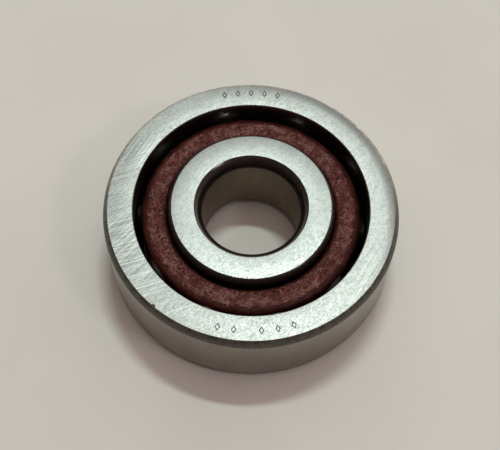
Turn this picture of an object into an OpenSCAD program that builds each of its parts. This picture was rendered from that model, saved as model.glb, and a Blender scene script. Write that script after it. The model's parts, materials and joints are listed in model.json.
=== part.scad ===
// Single-row angular contact ball bearing, 10 x 30 x 9 mm, with a 40 degree contact angle.
// The outer ring takes the thrust on its high back shoulder and the inner ring on its high
// front shoulder. A one-piece cage of laminated phenolic resin spaces the steel balls.
// The origin is the centre of the back face, and +Z runs along the axis to the front face.

/* [Envelope] */
// Bore diameter of the inner ring
bore_d = 10; // [9.6:0.1:10.4]
// Outside diameter of the outer ring
outer_d = 30; // [29:0.5:34]
// Width of both rings
width = 9; // [8.5:0.5:12]

/* [Ball set] */
// Ball diameter, 3/16 inch
ball_d = 4.762; // [4.6:0.001:4.8]
// Diameter of the circle through the ball centres
pitch_d = 20; // [19.9:0.05:20.1]
// Number of balls
ball_count = 10; // [5:1:11]
// Contact angle, measured from the plane of the balls
contact_angle = 40; // [30:1:42]
// Turn of the whole ball set about the axis at rest
ball_set_angle = -3; // [-18:1:18]

/* [Raceways] */
// Groove radius of the outer ring over the ball diameter
outer_conformity = 0.53; // [0.52:0.005:0.54]
// Groove radius of the inner ring over the ball diameter
inner_conformity = 0.52; // [0.515:0.005:0.53]
// Running gap between each ball and each groove along the contact line
running_gap = 0.015; // [0.01:0.005:0.03]

/* [Outer ring] */
// Inner diameter of the low shoulder, at the front face
outer_low_d = 23.9; // [23.6:0.1:24.2]
// Inner diameter of the high shoulder, at the back face
outer_high_d = 22.8; // [22.6:0.1:23]

/* [Inner ring] */
// Outer diameter of the high shoulder, at the front face
inner_high_d = 16.9; // [16.5:0.1:17]
// Height of the retaining lip between the groove and the back relief
inner_lip = 0.04; // [0.03:0.01:0.08]
// Outer diameter of the relieved side, at the back face
inner_relief_d = 14.7; // [14.5:0.1:15]

/* [Corners] */
// Radial and axial legs of the outer ring's front corner
outer_front_corner = [0.47, 0.87];
// Radial and axial legs of the outer ring's back corner
outer_back_corner = [0.6, 1.1];
// Radial and axial legs of the inner ring's front bore corner
bore_front_corner = [0.81, 1.22];
// Radial and axial legs of the inner ring's back bore corner
bore_back_corner = [0.75, 1.05];
// Radial and axial legs of the inner ring's front outer corner
land_corner = [0.35, 0.48];
// Leg of the small edge breaks on the ring faces
edge_break = 0.08; // [0.05:0.01:0.15]

/* [Cage] */
// Inner diameter of the cage
cage_inner_d = 17.2; // [17.1:0.1:17.6]
// Outer diameter of the cage
cage_outer_d = 22.3; // [21.8:0.1:22.4]
// Width of the cage along the axis
cage_width = 6.4; // [6.2:0.1:7]
// Diameter of the ball pockets
pocket_d = 4.95; // [4.9:0.01:5.1]
// Rounding of the cage's outer edges
cage_outer_round = 0.45; // [0.3:0.05:0.5]
// Rounding of the cage's inner edges
cage_inner_round = 0.28; // [0.1:0.02:0.36]

/* [Marks] */
// Radius of the circle that the stamped marks stand on
mark_circle_r = 13.5; // [13:0.1:13.7]
// Width across and height of one lozenge mark
mark_size = [0.56, 0.86];
// Width of the stamped line
mark_line = 0.13; // [0.08:0.01:0.2]
// Depth of the marks
mark_depth = 0.05; // [0.03:0.01:0.1]

/* [Hidden] */
$fn = 180;
arc_fn = 96;
margin = 1;
// How far the waste of a corner runs on inside the arc, past the arc's two ends
overlap = 0.02;
ball_z = width / 2;
pitch_r = pitch_d / 2;
ball_pitch_angle = 360 / ball_count;
// Centre and radius of each groove, set back from the ball centre along the contact line
outer_groove_r = outer_conformity * ball_d;
outer_setback = outer_groove_r - ball_d / 2 - running_gap;
outer_groove = [pitch_r - outer_setback * cos(contact_angle), ball_z + outer_setback * sin(contact_angle)];
inner_groove_r = inner_conformity * ball_d;
inner_setback = inner_groove_r - ball_d / 2 - running_gap;
inner_groove = [pitch_r + inner_setback * cos(contact_angle), ball_z - inner_setback * sin(contact_angle)];
// Place of the retaining lip, where the groove has risen by inner_lip
inner_lip_r = inner_groove.x - inner_groove_r + inner_lip;
inner_lip_z = inner_groove.y - sqrt(pow(inner_groove_r, 2) - pow(inner_groove.x - inner_lip_r, 2));
// Radii of the rounded corners, each a little over the value that would make them tangent
outer_corner_r = 1.3;
bore_corner_r = 1.6;
land_corner_r = 0.6;
edge_break_r = 0.3;
// Angles about the axis of the marks on the front face
far_marks = [for (i = [-2 : 2]) 92 + 6 * i];
near_marks = [-102, -95.3, -84, -77.3, -70.6];

ball_names = [for (i = [1 : ball_count]) str("ball_", i < 10 ? "0" : "", i)];

// Waste outside a rounded corner of a section. legs are the corner's radial and axial
// lengths, and out points out of the material, as [1, 1] does at an outer front corner.
module corner_waste(corner, legs, radius, out) {
    chord = norm(legs);
    depth = sqrt(radius * radius - chord * chord / 4);
    centre = -legs / 2 - depth * [legs.y, legs.x] / chord;
    translate(corner)
        mirror([out.x < 0 ? 1 : 0, 0])
            mirror([0, out.y < 0 ? 1 : 0])
                difference() {
                    translate(-legs - [overlap, overlap]) square(legs + [margin, margin]);
                    translate(centre) circle(r = radius, $fn = arc_fn);
                }
}

module outer_ring_section() {
    low_r = outer_low_d / 2;
    high_r = outer_high_d / 2;
    outer_r = outer_d / 2;
    difference() {
        union() {
            translate([low_r, 0]) square([outer_r - low_r, width]);
            translate([high_r, 0]) square([outer_r - high_r, ball_z]);
        }
        translate(outer_groove) circle(r = outer_groove_r);
        corner_waste([outer_r, width], outer_front_corner, outer_corner_r, [1, 1]);
        corner_waste([outer_r, 0], outer_back_corner, outer_corner_r, [1, -1]);
        corner_waste([low_r, width], [edge_break, edge_break], edge_break_r, [-1, 1]);
        corner_waste([high_r, 0], [edge_break, edge_break], edge_break_r, [-1, -1]);
    }
}

module inner_ring_section() {
    bore_r = bore_d / 2;
    high_r = inner_high_d / 2;
    relief_r = inner_relief_d / 2;
    difference() {
        polygon([
            [bore_r, 0], [relief_r, 0], [inner_lip_r, inner_lip_z], [inner_lip_r, ball_z],
            [high_r, ball_z], [high_r, width], [bore_r, width]
        ]);
        translate(inner_groove) circle(r = inner_groove_r);
        corner_waste([bore_r, width], bore_front_corner, bore_corner_r, [-1, 1]);
        corner_waste([bore_r, 0], bore_back_corner, bore_corner_r, [-1, -1]);
        corner_waste([high_r, width], land_corner, land_corner_r, [1, 1]);
    }
}

module cage_section() {
    inner_r = cage_inner_d / 2;
    wall = (cage_outer_d - cage_inner_d) / 2;
    low = ball_z - cage_width / 2;
    high = ball_z + cage_width / 2;
    outer_legs = [cage_outer_round, cage_outer_round];
    inner_legs = [cage_inner_round, cage_inner_round];
    // Each radius is a little over its legs, so the edges stay faintly crisp
    outer_edge_r = 1.25 * cage_outer_round;
    inner_edge_r = 1.25 * cage_inner_round;
    difference() {
        translate([inner_r, low]) square([wall, cage_width]);
        corner_waste([inner_r + wall, high], outer_legs, outer_edge_r, [1, 1]);
        corner_waste([inner_r + wall, low], outer_legs, outer_edge_r, [1, -1]);
        corner_waste([inner_r, high], inner_legs, inner_edge_r, [-1, 1]);
        corner_waste([inner_r, low], inner_legs, inner_edge_r, [-1, -1]);
    }
}

// One stamped lozenge outline on the front face, at an angle about the axis
module mark(angle) {
    inside = (mark_size - 2 * [mark_line, mark_line * mark_size.y / mark_size.x]) / 2;
    rotate([0, 0, angle - 90])
        translate([0, mark_circle_r, width - mark_depth])
            linear_extrude(mark_depth + margin)
                difference() {
                    lozenge(mark_size / 2);
                    lozenge(inside);
                }
}

module lozenge(half) {
    polygon([[half.x, 0], [0, half.y], [-half.x, 0], [0, -half.y]]);
}

module outer_ring() {
    color([0.76, 0.79, 0.76])
        difference() {
            rotate_extrude() outer_ring_section();
            for (angle = concat(far_marks, near_marks)) mark(angle);
        }
}

module inner_ring() {
    color([0.78, 0.81, 0.78])
        rotate_extrude() inner_ring_section();
}

module cage() {
    color([0.36, 0.14, 0.12])
        difference() {
            rotate_extrude() cage_section();
            for (i = [0 : ball_count - 1])
                rotate([0, 0, ball_set_angle + i * ball_pitch_angle])
                    translate([0, 0, ball_z])
                        rotate([0, 90, 0])
                            cylinder(d = pocket_d, h = outer_d / 2);
        }
}

module ball(i) {
    color([0.7, 0.72, 0.72])
        rotate([0, 0, ball_set_angle + i * ball_pitch_angle])
            translate([pitch_r, 0, ball_z])
                sphere(d = ball_d);
}

outer_ring();
inner_ring();
cage();
for (i = [0 : ball_count - 1])
    ball(i);
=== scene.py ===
"""Looks of a 10 x 30 x 9 mm angular contact ball bearing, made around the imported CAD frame.

The two rings and the cage are turned again as finer meshes with soft and worn edges, and the balls
keep their CAD meshes and get a new material. The bearing lies on its back face, with its axis on Z.
"""
import json
import math
from collections import namedtuple

import bpy
from mathutils import Matrix, Vector, noise


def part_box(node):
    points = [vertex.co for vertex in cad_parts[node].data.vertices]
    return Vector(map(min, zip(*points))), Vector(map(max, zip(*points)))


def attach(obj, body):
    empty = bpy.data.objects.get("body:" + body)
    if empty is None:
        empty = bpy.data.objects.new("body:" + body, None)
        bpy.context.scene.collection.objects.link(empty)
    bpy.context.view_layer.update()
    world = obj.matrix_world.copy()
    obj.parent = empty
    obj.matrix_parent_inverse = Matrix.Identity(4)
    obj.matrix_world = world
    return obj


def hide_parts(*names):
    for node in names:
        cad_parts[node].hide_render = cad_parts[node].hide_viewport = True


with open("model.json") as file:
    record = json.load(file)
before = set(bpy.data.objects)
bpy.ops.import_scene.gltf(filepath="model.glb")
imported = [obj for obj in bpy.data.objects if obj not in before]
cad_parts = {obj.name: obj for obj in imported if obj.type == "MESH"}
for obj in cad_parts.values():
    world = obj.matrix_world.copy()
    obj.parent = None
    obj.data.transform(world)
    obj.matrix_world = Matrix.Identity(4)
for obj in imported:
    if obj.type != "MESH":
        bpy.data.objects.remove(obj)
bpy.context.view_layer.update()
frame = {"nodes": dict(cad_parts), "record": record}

MM = 0.001
Corner = namedtuple("Corner", "radial axial radius steps")

# ---------------------------------------------------------------- sizes, in metres
mount_radius = {m["name"]: m["dims"].get("r_mm", 0) * MM for m in frame["record"]["mounts"]}
_, outer_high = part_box("outer_ring")
_, inner_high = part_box("inner_ring")
cage_low, cage_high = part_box("cage")
ball_low, ball_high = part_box("ball_01")

WIDTH = outer_high.z
OUTER_R = outer_high.x
BORE_R = mount_radius["shaft_bore"]
INNER_HIGH_R = inner_high.x
CAGE_OUTER_R = cage_high.x
BALL_D = ball_high.z - ball_low.z
BALL_Z = (ball_low.z + ball_high.z) / 2
PITCH_R = Vector(((ball_low.x + ball_high.x) / 2, (ball_low.y + ball_high.y) / 2)).length
BALL_SET_ANGLE = math.radians(-3)
BALL_NAMES = sorted(n for n in frame["nodes"] if n.startswith("ball_"))

# The sections repeat the CAD's own sizes
OUTER_LOW_R = 11.95 * MM
OUTER_HIGH_R = 11.4 * MM
INNER_RELIEF_R = 7.35 * MM
INNER_LIP = 0.04 * MM
CAGE_INNER_R = 8.6 * MM
CAGE_OUTER_ROUND = 0.45 * MM
CAGE_INNER_ROUND = 0.28 * MM
POCKET_R = 2.475 * MM
CONTACT_ANGLE = math.radians(40)
RUNNING_GAP = 0.015 * MM
OUTER_GROOVE_R = 0.53 * BALL_D
INNER_GROOVE_R = 0.52 * BALL_D
EDGE_BREAK = 0.08 * MM

# Each corner's radial leg, axial leg, arc radius and number of steps
OUTER_FRONT_CORNER = Corner(0.47 * MM, 0.87 * MM, 1.3 * MM, 14)
OUTER_BACK_CORNER = Corner(0.6 * MM, 1.1 * MM, 1.3 * MM, 14)
BORE_FRONT_CORNER = Corner(0.81 * MM, 1.22 * MM, 1.6 * MM, 16)
BORE_BACK_CORNER = Corner(0.75 * MM, 1.05 * MM, 1.6 * MM, 14)
LAND_CORNER = Corner(0.35 * MM, 0.48 * MM, 0.6 * MM, 10)

# The arc of each of the cage's rounds is a little larger than the round's two legs
ROUND_SPREAD = 1.25
CAGE_OUTER_STEPS = 8
CAGE_INNER_STEPS = 6

# The cage's ends are polished down a little towards both rounds. Between them the cut cloth lies a
# little below the CAD face and has lumps of two sizes: how high, and how many to a millimetre.
CROWN_WIDTH = 0.4 * MM
CROWN_FALL = 0.06 * MM
INNER_CROWN_SHARE = 0.7
CLOTH_SINK = 0.014 * MM
COARSE_LUMPS = (0.010 * MM, 2.6)
FINE_LUMPS = (0.008 * MM, 6.1)

# Wear on the outer ring's front face. The roll-off spreads to both sides of its angle.
ROLL_OFF_WIDTH = 1.0 * MM
ROLL_OFF_DEPTH = 0.11 * MM
ROLL_OFF_ANGLE = math.radians(35)
ROLL_OFF_FADE = 1.5
NICK_ANGLE = math.radians(-128.8)
NICK_SIZE = 0.15 * MM
NICK_DEPTH_SHARE = 0.3

# The edge that grinding leaves where two surfaces meet, and where on its curve the points stand
SHARP_EDGE = 0.022 * MM
EDGE_POINTS = (0.33, 0.67)

# Stamped lozenges on the front face of the outer ring
MARK_CIRCLE_R = 13.5 * MM
MARK_HALF = (0.28 * MM, 0.43 * MM)
MARK_LINE = 0.13 * MM
MARK_DEPTH = 0.05 * MM
FAR_MARKS = [math.radians(92 + 6 * i) for i in range(-2, 3)]
NEAR_MARKS = [math.radians(a) for a in (-102, -95.3, -84, -77.3, -70.6)]

# How finely the pieces are divided
OUTER_RING_SIDES = 720
INNER_RING_SIDES = 360
CAGE_SIDES = 540
POCKET_SIDES = 96
GROOVE_STEPS = 40
OUTER_FACE_STEPS = 10
CAGE_FACE_STEPS = 14
SHARP_ANGLE = math.radians(40)


# ---------------------------------------------------------------- sections
def arc(start, end, radius, steps):
    """Points after start, up to end, along the shorter arc that has its centre on the right."""
    a, b = Vector(start), Vector(end)
    chord = b - a
    rise = math.sqrt(max(radius * radius - chord.length_squared / 4, 0))
    right = Vector((chord.y, -chord.x)).normalized()
    centre = (a + b) / 2 + right * rise
    from_angle = math.atan2(a.y - centre.y, a.x - centre.x)
    turn = math.atan2(b.y - centre.y, b.x - centre.x) - from_angle
    turn = (turn + math.pi) % (2 * math.pi) - math.pi
    points = []
    for i in range(1, steps + 1):
        angle = from_angle + turn * i / steps
        points.append(centre + radius * Vector((math.cos(angle), math.sin(angle))))
    return points


def hollow_arc(start, end, radius, steps):
    """As arc, with the centre on the left."""
    back = arc(end, start, radius, steps)
    return back[-2::-1] + [Vector(end)]


def section(start, *stretches):
    """A closed outline in stretches, each a finish and its points. The first stretch runs on from start,
    and each of the others from the end of the one before."""
    here = Vector(start)
    out = []
    for finish, points in stretches:
        points = [Vector(p) for p in points]
        out.append((finish, [here] + points))
        here = points[-1]
    return out


def with_soft_edges(stretches, edge):
    """The outline as one loop of points with a finish for each side. Where two stretches meet, both are
    cut back by edge, and a small curve joins them."""
    points, finishes = [], []
    for index, (finish, line) in enumerate(stretches):
        line = list(line)
        line[0] = line[0] + (line[1] - line[0]).normalized() * edge
        line[-1] = line[-1] + (line[-2] - line[-1]).normalized() * edge
        points += line
        next_finish, following = stretches[(index + 1) % len(stretches)]
        corner = following[0]
        after = corner + (following[1] - corner).normalized() * edge
        before = line[-1]
        for t in EDGE_POINTS:
            points.append(before.lerp(corner, t).lerp(corner.lerp(after, t), t))
        finishes += [finish] * len(line) + [next_finish] * len(EDGE_POINTS)
    return points, finishes


def lathe(name, outline, finishes, materials, sides, shift=None):
    """A closed mesh of the outline turned about Z. materials gives each finish its material, and
    shift(point, angle) may move a point of the section."""
    verts, faces, slots = [], [], []
    slot_of = {finish: i for i, finish in enumerate(materials)}
    count = len(outline)
    for k in range(sides):
        angle = 2 * math.pi * k / sides
        c, s = math.cos(angle), math.sin(angle)
        for p in outline:
            r, z = shift(p, angle) if shift else (p.x, p.y)
            verts.append((r * c, r * s, z))
    for k in range(sides):
        a, b = k * count, (k + 1) % sides * count
        for i in range(count):
            j = (i + 1) % count
            faces.append((a + i, a + j, b + j, b + i))
            slots.append(slot_of[finishes[i]])
    obj = add_mesh(name, verts, faces, materials.values())
    obj.data.polygons.foreach_set("material_index", slots)
    obj.data.polygons.foreach_set("use_smooth", [True] * len(faces))
    obj.data.update()
    return obj


def add_mesh(name, verts, faces, materials):
    """A mesh object in the scene."""
    mesh = bpy.data.meshes.new(name)
    mesh.from_pydata(verts, [], faces)
    for material in materials:
        mesh.materials.append(material)
    obj = bpy.data.objects.new(name, mesh)
    bpy.context.scene.collection.objects.link(obj)
    return obj


def cut(obj, cutter):
    """Cuts the cutter out of obj and removes the cutter."""
    modifier = obj.modifiers.new("cut", "BOOLEAN")
    modifier.object = cutter
    modifier.operation = "DIFFERENCE"
    modifier.solver = "EXACT"
    modifier.material_mode = "TRANSFER"
    settle(obj)
    bpy.data.objects.remove(cutter)


def settle(obj):
    """Applies obj's modifiers to its mesh."""
    graph = bpy.context.evaluated_depsgraph_get()
    graph.update()
    evaluated = obj.evaluated_get(graph)
    mesh = bpy.data.meshes.new_from_object(evaluated, preserve_all_data_layers=True, depsgraph=graph)
    obj.modifiers.clear()
    obj.data = mesh


def even_shading(obj):
    """Weighted normals, so that wide faces stay flat beside their soft edges."""
    obj.data.set_sharp_from_angle(angle=SHARP_ANGLE)
    modifier = obj.modifiers.new("normals", "WEIGHTED_NORMAL")
    modifier.keep_sharp = True
    settle(obj)


# ---------------------------------------------------------------- materials
class Shader:
    """A material with one Principled shader, and short calls for the nodes that feed it."""

    def __init__(self, name, **values):
        self.material = bpy.data.materials.new(name)
        self.material.use_nodes = True
        self.tree = self.material.node_tree
        self.principled = self.tree.nodes["Principled BSDF"]
        for socket, value in values.items():
            self.principled.inputs[socket.replace("_", " ")].default_value = value

    def node(self, kind, inputs=(), output=0, **settings):
        """One output of a new node. inputs maps its sockets to values or to other nodes' outputs."""
        made = self.tree.nodes.new(kind)
        for key, value in settings.items():
            setattr(made, key, value)
        for key, value in dict(inputs).items():
            if isinstance(value, bpy.types.NodeSocket):
                self.tree.links.new(value, made.inputs[key])
            else:
                made.inputs[key].default_value = value
        return made.outputs[output]

    def feed(self, socket, value):
        """Links a node's output to a socket of the Principled shader."""
        self.tree.links.new(value, self.principled.inputs[socket])

    def place(self):
        """The point on the piece, in millimetres."""
        coords = self.node("ShaderNodeTexCoord", output="Object")
        return self.node("ShaderNodeVectorMath", {0: coords, "Scale": 1 / MM}, operation="SCALE")

    def axes(self, vector):
        """The vector's X, Y and Z."""
        split = self.tree.nodes.new("ShaderNodeSeparateXYZ")
        self.tree.links.new(vector, split.inputs[0])
        return split.outputs[0], split.outputs[1], split.outputs[2]

    def vector(self, x, y, z):
        """A vector from its X, Y and Z."""
        return self.node("ShaderNodeCombineXYZ", {0: x, 1: y, 2: z})

    def maths(self, operation, a, b=0.0, c=0.0):
        """The result of a maths operation on up to three numbers."""
        return self.node("ShaderNodeMath", {0: a, 1: b, 2: c}, operation=operation)

    def noise(self, vector, scale, detail=2.0, roughness=0.5):
        """Noise about 0.5, with so many patches to a unit of the vector."""
        inputs = {"Vector": vector, "Scale": scale, "Detail": detail, "Roughness": roughness}
        return self.node("ShaderNodeTexNoise", inputs, noise_dimensions="3D")

    def ease(self, value, low, high, to_low=0.0, to_high=1.0):
        """value carried from low..high to to_low..to_high, smoothly and clamped."""
        return self.node(
            "ShaderNodeMapRange",
            {"Value": value, "From Min": low, "From Max": high, "To Min": to_low, "To Max": to_high},
            interpolation_type="SMOOTHSTEP",
        )

    def mix(self, amount, a, b):
        """The colour between a and b."""
        made = self.tree.nodes.new("ShaderNodeMix")
        made.data_type = "RGBA"
        for index, value in ((0, amount), (6, a), (7, b)):
            if isinstance(value, bpy.types.NodeSocket):
                self.tree.links.new(value, made.inputs[index])
            else:
                made.inputs[index].default_value = (*value, 1)
        return made.outputs[2]

    def bump(self, height, depth):
        """A normal from a height of 0 to 1 that stands for depth metres."""
        return self.node("ShaderNodeBump", {"Height": height, "Distance": depth, "Strength": 1.0})

    def polar(self, place, centre=(0, 0)):
        """Distance from an axis parallel to Z, in millimetres, the angle about it, in radians, and Z."""
        from_centre = {0: place, 1: (-centre[0], -centre[1], 0)}
        x, y, z = self.axes(self.node("ShaderNodeVectorMath", from_centre, operation="ADD"))
        flat = self.vector(x, y, 0.0)
        radius = self.node("ShaderNodeVectorMath", {0: flat}, output="Value", operation="LENGTH")
        return radius, self.maths("ARCTAN2", y, x), z

    def drawn_out(self, u, per_u, v, per_v, seed, detail, roughness):
        """Noise with so many patches to a unit of u and of v."""
        lay = self.vector(self.maths("MULTIPLY", u, per_u), self.maths("MULTIPLY", v, per_v), seed)
        return self.noise(lay, 1.0, detail, roughness)


def shade(colour, factor):
    """The colour, lighter or darker by the factor."""
    return tuple(part * factor for part in colour)


# The arcs that a grinding wheel leaves on a face, in three families: the wheel's centre in
# millimetres, lines to a millimetre, patches to a radian, and the family's share
GRINDING_ARCS = (
    ((-34.0, 41.0), 8.5, 52.0, 0.40),
    ((-52.0, 20.0), 11.0, 70.0, 0.24),
    ((46.0, -22.0), 9.0, 50.0, 0.36),
)
# Deeper scratches that cross each other, as above without the share
DEEP_SCRATCHES = (
    ((-30.0, 44.0), 14.0, 4.5),
    ((-45.0, 24.0), 15.0, 5.0),
)
GROUND_DULL = (0.320, 0.333, 0.325)
GROUND_PALE = (0.350, 0.363, 0.354)
STAIN = (0.22, 0.23, 0.21)
PIT = (0.09, 0.09, 0.08)


def grinding_streaks(s, place, seed, brushed):
    """The wheel's arcs over a fine grain. brushed is the arcs' share."""
    arcs = 0.0
    for centre, across, along, share in GRINDING_ARCS:
        radius, angle, _ = s.polar(place, centre)
        lines = s.drawn_out(radius, across, angle, along, seed, 3.0, 0.62)
        arcs = s.maths("ADD", arcs, s.maths("MULTIPLY", lines, share))
    grain = s.noise(place, 5.6, 2.0, 0.7)
    return s.maths("ADD", s.maths("MULTIPLY", arcs, brushed), s.maths("MULTIPLY", grain, 1 - brushed))


def scratched(s, place, seed, ground, dull, pale, rubbed_side):
    """The ground colour with deeper scratches: in patches everywhere, and close together on the rubbed
    -X side. The colour is also made darker towards -X and -Y."""
    x, y, _ = s.axes(place)
    rubbed = s.ease(x, -6.5, -11.5, 0.0, rubbed_side)
    darker_to_near_left = s.ease(s.maths("MULTIPLY_ADD", y, 0.70, x), -10.0, -15.5, 0.0, rubbed_side)
    ground = s.mix(s.maths("MULTIPLY", darker_to_near_left, 0.38), ground, shade(dull, 0.5))
    patch = s.ease(s.noise(place, 0.16, 1.0, 0.5), 0.42, 0.62)
    dark = s.maths("MULTIPLY_ADD", patch, 0.15, s.maths("MULTIPLY_ADD", rubbed, 0.40, 0.05))
    bright = s.maths("MULTIPLY_ADD", patch, 0.20, s.maths("MULTIPLY_ADD", rubbed, 0.27, 0.08))
    for centre, across, along in DEEP_SCRATCHES:
        radius, angle, _ = s.polar(place, centre)
        deep = s.drawn_out(radius, across, angle, along, seed + 5.0, 0.5, 0.5)
        ground = s.mix(s.maths("MULTIPLY", s.ease(deep, 0.41, 0.34), dark), ground, shade(dull, 0.36))
        ground = s.mix(s.maths("MULTIPLY", s.ease(deep, 0.60, 0.68), bright), ground, shade(pale, 1.5))
    return ground


def ground_steel(name, seed, rough, brushed, tone, rubbed_side=0.0):
    """Bearing steel ground on a face. brushed is how far the wheel's arcs show over the fine grain, tone
    how light the steel is, and rubbed_side how strong the scratches on the -X side are and how much
    darker the colour is made towards -X and -Y."""
    s = Shader(name, Metallic=1.0, Roughness=rough)
    place = s.place()
    dull, pale = shade(GROUND_DULL, tone), shade(GROUND_PALE, tone)
    streaks = grinding_streaks(s, place, seed, brushed)
    cloud = s.ease(s.noise(place, 0.55, 3.0, 0.55), 0.3, 0.7)
    ground = s.mix(s.ease(streaks, 0.38, 0.60), shade(dull, 0.76), s.mix(cloud, dull, pale))
    ground = scratched(s, place, seed, ground, dull, pale, rubbed_side)
    stain = s.ease(s.noise(place, 1.3, 4.0, 0.65), 0.60, 0.80)
    pits = s.ease(s.noise(place, 4.2, 1.0, 0.4), 0.755, 0.80)
    stained = s.mix(s.maths("MULTIPLY", stain, 0.22), ground, STAIN)
    s.feed("Base Color", s.mix(s.maths("MULTIPLY", pits, 0.7), stained, PIT))
    s.feed("Roughness", s.ease(streaks, 0.35, 0.65, rough + 0.03, rough - 0.03))
    s.feed("Normal", s.bump(s.maths("SUBTRACT", streaks, s.maths("MULTIPLY", pits, 0.6)), 0.004 * MM))
    return s.material


def ground_wall(name, seed, tone, rough=0.32):
    """Steel ground on a cylinder: fine lines round the axis, and faint bands along it that are painted
    reflections of the room.
    """
    s = Shader(name, Metallic=1.0, Roughness=rough)
    place = s.place()
    _, angle, z = s.polar(place)
    lines = s.drawn_out(angle, 6.0, z, 9.0, seed, 3.0, 0.6)
    # Painted reflection: lighter bands along the axis stand in for the room reflected in the wall.
    reflection_bands = s.drawn_out(angle, 5.5, z, 0.12, seed + 3.0, 2.0, 0.5)
    cloud = s.noise(place, 0.5, 3.0, 0.6)
    pale = s.mix(s.ease(reflection_bands, 0.35, 0.65), tone, shade(tone, 1.12))
    s.feed("Base Color", s.mix(s.ease(cloud, 0.35, 0.75, 0.0, 0.35), pale, shade(tone, 0.86)))
    s.feed("Roughness", s.ease(lines, 0.3, 0.7, rough - 0.05, rough + 0.06))
    s.feed("Normal", s.bump(lines, 0.0035 * MM))
    return s.material


def turned_steel(name, seed, tone, rough, texture, far_side_sheen=1.0):
    """A corner as it was turned and hardened: dark scale, tool lines round the axis and small pits.
    texture is how coarse it is, and far_side_sheen how much paler the scale is painted on the +Y side, as
    a painted reflection of the bright far wall."""
    s = Shader(name, Metallic=0.85, Roughness=rough)
    place = s.place()
    radius, angle, z = s.polar(place)
    _, y, _ = s.axes(place)
    tool = s.drawn_out(angle, 3.0, s.maths("SUBTRACT", radius, z), 8.0, seed, 2.0, 0.5)
    cloud = s.noise(place, 1.7, 4.0, 0.7)
    pits = s.ease(s.noise(place, 3.4, 2.0, 0.5), 0.64, 0.72, 0.0, 0.7 * texture)
    # Painted reflection: the scale is painted paler towards +Y, where the corner faces the bright far
    # wall.
    worn = s.ease(y, -3.0, 9.0)
    lighter = 1.0 + 0.8 * texture
    dark = s.mix(worn, tone, shade(tone, far_side_sheen))
    pale = s.mix(worn, shade(tone, lighter), shade(tone, lighter * far_side_sheen))
    scale = s.mix(s.ease(cloud, 0.36, 0.66), dark, pale)
    lined = s.mix(s.ease(tool, 0.4, 0.7, 0.0, 0.4 * texture), scale, shade(tone, 2.0))
    s.feed("Base Color", s.mix(pits, lined, shade(tone, 0.32)))
    s.feed("Roughness", s.ease(cloud, 0.3, 0.7, rough - 0.06 * texture, rough + 0.10 * texture))
    s.feed("Normal", s.bump(s.maths("SUBTRACT", tool, pits), 0.006 * MM * texture))
    return s.material


def polished_steel(name, tone, rough=0.12):
    """A lapped raceway or ball with a thin film of oil."""
    s = Shader(name, Metallic=1.0, Roughness=rough)
    place = s.place()
    film = s.noise(place, 0.9, 3.0, 0.6)
    s.feed("Base Color", s.mix(s.ease(film, 0.35, 0.7), tone, shade(tone, 0.8)))
    s.feed("Roughness", s.ease(film, 0.3, 0.75, rough - 0.02, rough + 0.12))
    s.feed("Normal", s.bump(s.noise(place, 7.0), 0.0006 * MM))
    return s.material


def stamped_steel(name):
    """The dark floor of a stamped mark."""
    s = Shader(name, Metallic=0.8, Roughness=0.5)
    place = s.place()
    s.feed("Base Color", s.mix(s.noise(place, 6.0), (0.045, 0.05, 0.045), (0.12, 0.13, 0.12)))
    s.feed("Normal", s.bump(s.noise(place, 9.0), 0.004 * MM))
    return s.material


# The laminate's colours: the dark and light ends of the sealed skin and of the resin between the
# threads, then the cloth and the cut threads
SKIN = ((0.016, 0.0032, 0.0026), (0.050, 0.0102, 0.0068))
RESIN = ((0.024, 0.0032, 0.0025), (0.076, 0.0170, 0.0135))
CLOTH = (0.096, 0.039, 0.034)
CUT_THREAD = (0.290, 0.165, 0.150)
# The cage's middle radius in millimetres, which turns an angle into a length along the layers
MIDDLE_OF_CAGE = 9.8


def laminate_place(s):
    """The radius and the length along the layers, in millimetres, and the grain of the sealed skin."""
    radius, angle, _ = s.polar(s.place())
    along = s.maths("MULTIPLY", angle, MIDDLE_OF_CAGE)
    return radius, along, s.drawn_out(radius, 2.0, along, 0.9, 0.4, 3.0, 0.65)


def skin_colour(s, grain):
    """The colour of the sealed skin."""
    return s.mix(s.ease(grain, 0.35, 0.68), *SKIN)


def thread(s, value, width):
    """A thin line where value crosses its middle."""
    return s.ease(s.maths("ABSOLUTE", s.maths("SUBTRACT", value, 0.5)), width, 0.0)


def laminate_skin(name):
    """Dark red resin on the cage's rounds and walls, sealed and smooth."""
    s = Shader(name, Roughness=0.4, IOR=1.5, Specular_IOR_Level=0.13)
    _, _, grain = laminate_place(s)
    s.feed("Base Color", skin_colour(s, grain))
    s.feed("Roughness", s.ease(grain, 0.3, 0.7, 0.30, 0.42))
    s.feed("Normal", s.bump(grain, 0.008 * MM))
    return s.material


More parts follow.
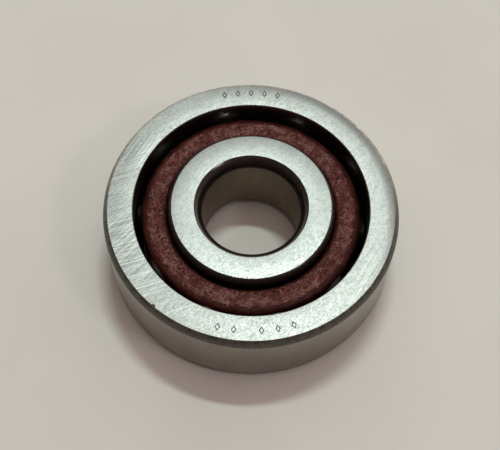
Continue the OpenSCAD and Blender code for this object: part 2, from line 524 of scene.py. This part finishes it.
def laminate_face(name):
    """The cage's cut ends, where the threads of the rolled cloth show in dark red resin."""
    s = Shader(name, Roughness=0.4, IOR=1.5, Specular_IOR_Level=0.06)
    radius, along, grain = laminate_place(s)
    layer = s.maths("MULTIPLY_ADD", s.noise(s.place(), 0.9), 0.8, radius)

    def woven(across, lengthwise, seed, detail=3.0):
        """Noise with so many patches to a millimetre across the layers and along them."""
        return s.drawn_out(layer, across, along, lengthwise, seed, detail, 0.65)

    # Round the rim the threads run with the layers, further in they cross
    rim = s.ease(radius, 9.6, 10.3)
    crossing = s.maths(
        "MAXIMUM", thread(s, woven(2.6, 2.3, 1.7), 0.050), thread(s, woven(3.6, 1.6, 8.3), 0.040))
    running = s.maths(
        "MAXIMUM", thread(s, woven(4.4, 0.8, 4.9), 0.055), thread(s, woven(2.9, 2.1, 6.1), 0.040))
    threads = s.node("ShaderNodeMix", {0: rim, 2: crossing, 3: running})
    broken = s.ease(woven(1.3, 1.1, 2.6), 0.42, 0.60)
    blots = woven(3.9, 3.3, 5.1, detail=2.0)
    soaked = s.maths("MULTIPLY_ADD", s.maths("SUBTRACT", woven(1.2, 1.0, 7.7), 0.5), 0.55, blots)
    resin = s.mix(s.ease(soaked, 0.36, 0.50), *RESIN)
    cloth = s.mix(s.ease(soaked, 0.50, 0.66), resin, CLOTH)
    showing = s.maths("MULTIPLY", threads, s.maths("MULTIPLY_ADD", broken, 0.65, 0.12))
    # The cut ends stop short of both rounds, along a wavy edge
    edge = s.maths("MULTIPLY_ADD", s.maths("SUBTRACT", blots, 0.5), 1.0, radius)
    inside = s.maths("MULTIPLY", s.ease(edge, 8.80, 9.20), s.ease(edge, 10.75, 10.35))
    s.feed("Base Color", s.mix(inside, skin_colour(s, grain), s.mix(showing, cloth, CUT_THREAD)))
    s.feed("Roughness", s.ease(inside, 0.0, 1.0, 0.46, 0.66))
    fibre = s.maths("MULTIPLY_ADD", blots, 0.5, s.maths("MULTIPLY", threads, broken))
    s.feed("Normal", s.bump(s.maths("MULTIPLY", fibre, inside), 0.010 * MM))
    return s.material


# ---------------------------------------------------------------- pieces
def groove(radius, outward):
    """Centre of a ring's groove in its section: set back from the ball centre along the contact line."""
    setback = radius - BALL_D / 2 - RUNNING_GAP
    return Vector((
        PITCH_R - outward * setback * math.cos(CONTACT_ANGLE),
        BALL_Z + outward * setback * math.sin(CONTACT_ANGLE),
    ))


def groove_height(centre, radius, at_r, side):
    """Height at which the groove meets the radius at_r, above (1) or below (-1) its centre."""
    return centre.y + side * math.sqrt(radius ** 2 - (at_r - centre.x) ** 2)


def make_outer_ring():
    """The outer ring, with its worn and marked front face."""
    front, back = OUTER_FRONT_CORNER, OUTER_BACK_CORNER
    centre = groove(OUTER_GROOVE_R, 1)
    groove_low = (OUTER_HIGH_R, groove_height(centre, OUTER_GROOVE_R, OUTER_HIGH_R, -1))
    groove_high = (OUTER_LOW_R, groove_height(centre, OUTER_GROOVE_R, OUTER_LOW_R, 1))
    face_in = (OUTER_LOW_R + EDGE_BREAK, WIDTH)
    corner_top = (OUTER_R - front.radial, WIDTH)
    corner_low = (OUTER_R, back.axial)
    back_edge = (OUTER_R - back.radial, 0)
    flat_end = corner_top[0] - ROLL_OFF_WIDTH
    steps = range(OUTER_FACE_STEPS + 1)
    face = [(flat_end + ROLL_OFF_WIDTH * i / OUTER_FACE_STEPS, WIDTH) for i in steps]
    stretches = section(
        face_in,
        ("face", face),
        ("turned", arc(corner_top, (OUTER_R, WIDTH - front.axial), front.radius, front.steps)),
        ("wall", [corner_low]),
        ("turned", arc(corner_low, back_edge, back.radius, back.steps)),
        ("face", [(OUTER_HIGH_R + EDGE_BREAK, 0)]),
        ("face", [(OUTER_HIGH_R, EDGE_BREAK)]),
        ("land", [groove_low]),
        ("race", hollow_arc(groove_low, groove_high, OUTER_GROOVE_R, GROOVE_STEPS)),
        ("land", [(OUTER_LOW_R, WIDTH - EDGE_BREAK)]),
        ("face", [face_in]),
    )
    outline, finishes = with_soft_edges(stretches, SHARP_EDGE)

    def worn(p, angle):
        """The wheel rolled off the outer edge of the face on one side, and handling left a nick in it."""
        r, z = p
        height = max(0, (z - WIDTH + front.axial) / front.axial)
        out = min(1, max(0, (r - flat_end) / ROLL_OFF_WIDTH))
        side = max(0, math.cos(angle - ROLL_OFF_ANGLE)) ** ROLL_OFF_FADE
        z -= ROLL_OFF_DEPTH * side * out ** 2 * height
        turn = (angle - NICK_ANGLE + math.pi) % (2 * math.pi) - math.pi
        near = max(0, 1 - ((turn * r) ** 2 + (r - corner_top[0]) ** 2) / NICK_SIZE ** 2)
        return r - near * height * NICK_SIZE, z - NICK_DEPTH_SHARE * near * height * NICK_SIZE

    ring = lathe("outer_ring_body", outline, finishes, {
        "face": ground_steel(
            "outer_face_steel", 2.0, rough=0.415, brushed=0.50, tone=0.75, rubbed_side=1.0),
        # The far side of this corner is painted paler, as a painted reflection.
        "turned": turned_steel(
            "outer_corner_steel", 4.0, (0.075, 0.071, 0.063), rough=0.46, texture=1.4, far_side_sheen=4.5),
        "wall": ground_wall("outer_wall_steel", 6.0, (0.285, 0.255, 0.226)),
        "land": ground_wall("outer_land_steel", 8.0, (0.20, 0.18, 0.17)),
        "race": polished_steel("outer_race_steel", (0.24, 0.22, 0.21)),
    }, OUTER_RING_SIDES, shift=worn)
    cut(ring, mark_cutter())
    even_shading(ring)
    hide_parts("outer_ring")
    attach(ring, "outer_ring")


def mark_cutter():
    """All the stamped lozenge outlines, as one closed cutter each."""
    verts, faces = [], []
    inside = tuple(h - MARK_LINE * h / MARK_HALF[0] for h in MARK_HALF)
    for angle in FAR_MARKS + NEAR_MARKS:
        turn = Matrix.Rotation(angle - math.pi / 2, 3, "Z")
        base = len(verts)
        # Four corners outside and four inside, below the face and then above it
        for z in (WIDTH - MARK_DEPTH, WIDTH + MARK_DEPTH):
            for half in (MARK_HALF, inside):
                for x, y in ((half[0], 0), (0, half[1]), (-half[0], 0), (0, -half[1])):
                    verts.append(turn @ Vector((x, MARK_CIRCLE_R + y, z)))
        for i in range(4):
            j = (i + 1) % 4
            faces.append([base + k for k in (i, j, j + 8, i + 8)])
            faces.append([base + k for k in (j + 4, i + 4, i + 12, j + 12)])
            faces.append([base + k for k in (j, i, i + 4, j + 4)])
            faces.append([base + k for k in (i + 8, j + 8, j + 12, i + 12)])
    return add_mesh("marks", verts, faces, [stamped_steel("mark_steel")])


def make_inner_ring():
    """The inner ring, with its high shoulder at the front face and its relieved side at the back."""
    front, back, land = BORE_FRONT_CORNER, BORE_BACK_CORNER, LAND_CORNER
    centre = groove(INNER_GROOVE_R, -1)
    lip_r = centre.x - INNER_GROOVE_R + INNER_LIP
    lip = (lip_r, groove_height(centre, INNER_GROOVE_R, lip_r, -1))
    groove_high = (INNER_HIGH_R, groove_height(centre, INNER_GROOVE_R, INNER_HIGH_R, 1))
    bore_top = (BORE_R, WIDTH - front.axial)
    face_in = (BORE_R + front.radial, WIDTH)
    land_top = (INNER_HIGH_R - land.radial, WIDTH)
    back_in = (BORE_R + back.radial, 0)
    stretches = section(
        face_in,
        ("face", [land_top]),
        ("turned", arc(land_top, (INNER_HIGH_R, WIDTH - land.axial), land.radius, land.steps)),
        ("land", [groove_high]),
        ("race", hollow_arc(groove_high, lip, INNER_GROOVE_R, GROOVE_STEPS)),
        ("land", [(INNER_RELIEF_R, 0)]),
        ("face", [back_in]),
        ("turned", arc(back_in, (BORE_R, back.axial), back.radius, back.steps)),
        ("bore", [bore_top]),
        ("turned", arc(bore_top, face_in, front.radius, front.steps)),
    )
    outline, finishes = with_soft_edges(stretches, SHARP_EDGE)
    ring = lathe("inner_ring_body", outline, finishes, {
        "face": ground_steel("inner_face_steel", 12.0, rough=0.375, brushed=0.56, tone=0.625),
        "turned": turned_steel(
            "inner_corner_steel", 14.0, (0.055, 0.047, 0.044), rough=0.18, texture=0.15),
        # Painted shade: the wall and groove facing the cage are painted far darker than the face, for the
        # shade in the gap.
        "land": ground_wall("inner_wall_painted_shade", 16.0, (0.07, 0.06, 0.055)),
        "race": polished_steel("inner_race_painted_shade", (0.10, 0.095, 0.09)),
        "bore": ground_wall("bore_steel", 18.0, (0.225, 0.180, 0.135), rough=0.5),
    }, INNER_RING_SIDES)
    even_shading(ring)
    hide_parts("inner_ring")
    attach(ring, "inner_ring")


def make_cage():
    """The cage: a turned ring with rounded edges, drilled for the balls."""
    low, high = cage_low.z, cage_high.z
    out_r, in_r = CAGE_OUTER_R, CAGE_INNER_R
    big, small = CAGE_OUTER_ROUND, CAGE_INNER_ROUND
    face_width = out_r - big - in_r - small
    steps = range(1, CAGE_FACE_STEPS + 1)
    across = [(in_r + small + face_width * i / CAGE_FACE_STEPS, high) for i in steps]
    back = [(r, low) for r, _ in reversed(across[:-1])] + [(in_r + small, low)]

    outer_arc = (ROUND_SPREAD * big, CAGE_OUTER_STEPS)
    inner_arc = (ROUND_SPREAD * small, CAGE_INNER_STEPS)
    stretches = section(
        (in_r + small, high),
        ("face", across),
        ("skin", arc(across[-1], (out_r, high - big), *outer_arc)),
        ("skin", [(out_r, low + big)]),
        ("skin", arc((out_r, low + big), (out_r - big, low), *outer_arc)),
        ("face", back),
        ("skin", arc((in_r + small, low), (in_r, low + small), *inner_arc)),
        ("skin", [(in_r, high - small)]),
        ("skin", arc((in_r, high - small), (in_r + small, high), *inner_arc)),
    )
    outline, finishes = with_soft_edges(stretches, SHARP_EDGE)

    def rough_cut(p, angle):
        """The cut ends are lumpy with threads, and dip towards both rounds."""
        where = Vector((p.x * math.cos(angle), p.x * math.sin(angle), p.y)) / MM
        lumps = (COARSE_LUMPS, FINE_LUMPS)
        lift = sum(tall * noise.noise(where * per_mm) for tall, per_mm in lumps)
        outward = max(0, (p.x - out_r + big + CROWN_WIDTH) / CROWN_WIDTH)
        inward = max(0, (in_r + small + CROWN_WIDTH - p.x) / CROWN_WIDTH)
        fall = CROWN_FALL * min(1, max(outward, INNER_CROWN_SHARE * inward)) ** 2
        side = 1 if p.y > BALL_Z else -1
        height = min(1, max(0, (abs(p.y - BALL_Z) - (high - low) / 2 + big) / big))
        return p.x, p.y + side * height * (lift - CLOTH_SINK - fall)

    skin = laminate_skin("cage_skin")
    cage = lathe("cage_body", outline, finishes, {
        "face": laminate_face("cage_face"),
        "skin": skin,
    }, CAGE_SIDES, shift=rough_cut)
    cut(cage, pocket_cutter(skin))
    even_shading(cage)
    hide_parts("cage")
    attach(cage, "cage")


def pocket_cutter(material):
    """The radial ball pockets, one closed cylinder each."""
    verts, faces = [], []
    for index in range(len(BALL_NAMES)):
        turn = Matrix.Rotation(BALL_SET_ANGLE + 2 * math.pi * index / len(BALL_NAMES), 3, "Z")
        base = len(verts)
        far = base + POCKET_SIDES
        for x in (CAGE_INNER_R - MM, CAGE_OUTER_R + MM):
            for i in range(POCKET_SIDES):
                a = 2 * math.pi * i / POCKET_SIDES
                verts.append(turn @ Vector((x, POCKET_R * math.cos(a), BALL_Z + POCKET_R * math.sin(a))))
        for i in range(POCKET_SIDES):
            j = (i + 1) % POCKET_SIDES
            faces.append([base + i, base + j, far + j, far + i])
        faces.append([base + i for i in reversed(range(POCKET_SIDES))])
        faces.append([far + i for i in range(POCKET_SIDES)])
    return add_mesh("pockets", verts, faces, [material])


def make_balls():
    """The CAD balls, with a dark oily polish."""
    ball_steel = polished_steel("ball_steel", (0.24, 0.25, 0.23), rough=0.24)
    for name in BALL_NAMES:
        for slot in frame["nodes"][name].material_slots:
            slot.material = ball_steel


# ---------------------------------------------------------------- floor, light and camera
# The floor's half width, and how far it lies below the bearing
FLOOR_HALF = 0.6
FLOOR_DROP = 0.02 * MM
PAPER = ((0.600, 0.610, 0.585), (0.630, 0.641, 0.616))

# Each light's name, direction from the bearing, distance, sides, power in watts and colour
LIGHTS = (
    ("ceiling_lamp", (0.045, 0.355, 1.0), 0.9, (0.20, 0.04), 3.1, (0.88, 1.0, 0.94)),
    ("ceiling", (0.0, -0.02, 1.0), 0.9, (0.5, 0.45), 0.95, (1.0, 0.75, 0.68)),
    ("window", (0.59, -0.30, 0.75), 0.9, (0.14, 0.14), 0.8, (1.0, 0.90, 0.90)),
)

# The room's colour on the near side, -Y, halfway, and on the far side
ROOM_NEAR = (0.25, 0.128, 0.102, 1)
ROOM_MIDDLE = (0.47, 0.385, 0.345, 1)
ROOM_FAR = (0.72, 0.67, 0.61, 1)

# Lens and sensor width in millimetres, then the camera's place: how high it looks from, how it is
# rolled, how far it is from its target, and the target
LENS, SENSOR = 75.4, 36
ELEVATION, ROLL = math.radians(63.17), math.radians(-2.15)
DISTANCE = 109.51 * MM
TARGET = (-0.07 * MM, 0, WIDTH / 2 + 0.05 * MM)
NEAREST_SEEN = 1 * MM


def make_floor():
    """A sheet of off-white paper."""
    s = Shader("floor_paper", Roughness=0.75, Specular_IOR_Level=0.25)
    cloud = s.noise(s.place(), 0.06, 3.0, 0.5)
    s.feed("Base Color", s.mix(s.ease(cloud, 0.3, 0.7), *PAPER))
    half = FLOOR_HALF
    corners = [(-half, -half, 0), (half, -half, 0), (half, half, 0), (-half, half, 0)]
    floor = add_mesh("floor", corners, [(0, 1, 2, 3)], [s.material])
    floor.location.z = -FLOOR_DROP


def make_light(name, direction, distance, sides, power, colour):
    """A soft rectangular light that shines on the bearing from a direction."""
    data = bpy.data.lights.new(name, "AREA")
    data.shape = "RECTANGLE"
    data.size, data.size_y = sides
    data.energy = power
    data.color = colour
    light = bpy.data.objects.new(name, data)
    direction = Vector(direction).normalized()
    light.location = direction * distance
    light.rotation_euler = direction.to_track_quat("Z", "Y").to_euler()
    bpy.context.scene.collection.objects.link(light)


def make_room():
    """Soft light from all round: warm and dim on the near side, pale on the far side, with a bright far
    wall and a dark near one, and brighter overhead and on the right."""
    world = bpy.data.worlds.new("room")
    bpy.context.scene.world = world
    world.use_nodes = True
    nodes, links = world.node_tree.nodes, world.node_tree.links
    split = nodes.new("ShaderNodeSeparateXYZ")
    links.new(nodes.new("ShaderNodeTexCoord").outputs["Generated"], split.inputs[0])

    def carried(axis, start, end, to_start, to_end):
        """The direction's part along an axis, carried from start..end to to_start..to_end."""
        made = nodes.new("ShaderNodeMapRange")
        links.new(split.outputs[axis], made.inputs["Value"])
        ends = {"From Min": start, "From Max": end, "To Min": to_start, "To Max": to_end}
        for socket, value in ends.items():
            made.inputs[socket].default_value = value
        return made.outputs[0]

    def maths(operation, *values):
        """The result of a maths operation."""
        made = nodes.new("ShaderNodeMath")
        made.operation = operation
        for index, value in enumerate(values):
            if isinstance(value, bpy.types.NodeSocket):
                links.new(value, made.inputs[index])
            else:
                made.inputs[index].default_value = value
        return made.outputs[0]

    by_depth = nodes.new("ShaderNodeValToRGB")
    links.new(carried(1, -1, 1, 0, 1), by_depth.inputs[0])
    stops = by_depth.color_ramp.elements
    stops[0].position, stops[0].color = 0.0, ROOM_NEAR
    stops[1].position, stops[1].color = 1.0, ROOM_FAR
    stops.new(0.5).color = ROOM_MIDDLE
    low_down = carried(2, 0, 0.55, 1, 0)
    far_wall = maths("MULTIPLY_ADD", carried(1, 0.1, 1, 0, 6), low_down, 1.0)
    near_wall = maths("MULTIPLY_ADD", carried(1, -0.1, -1, 0, -0.5), low_down, 1.0)
    room = maths("MULTIPLY", carried(2, 0, 1, 0.38, 1.0), carried(0, -1, 1, 0.68, 1.32))
    strength = maths("MULTIPLY", room, maths("MULTIPLY", far_wall, near_wall))
    background = nodes["Background"]
    links.new(by_depth.outputs[0], background.inputs["Color"])
    links.new(strength, background.inputs["Strength"])


def make_camera():
    """The camera, which looks down on the front face from the -Y side."""
    data = bpy.data.cameras.new("camera")
    data.sensor_width = SENSOR
    data.lens = LENS
    data.clip_start = NEAREST_SEEN
    camera = bpy.data.objects.new("camera", data)
    toward = Vector((0, -math.cos(ELEVATION), math.sin(ELEVATION)))
    camera.location = Vector(TARGET) + toward * DISTANCE
    look = toward.to_track_quat("Z", "Y")
    camera.rotation_mode = "QUATERNION"
    camera.rotation_quaternion = look @ Matrix.Rotation(-ROLL, 3, "Z").to_quaternion()
    bpy.context.scene.collection.objects.link(camera)
    bpy.context.scene.camera = camera


make_outer_ring()
make_inner_ring()
make_cage()
make_balls()
make_floor()
make_room()
for light in LIGHTS:
    make_light(*light)
make_camera()
bpy.context.scene.view_settings.view_transform = "Standard"
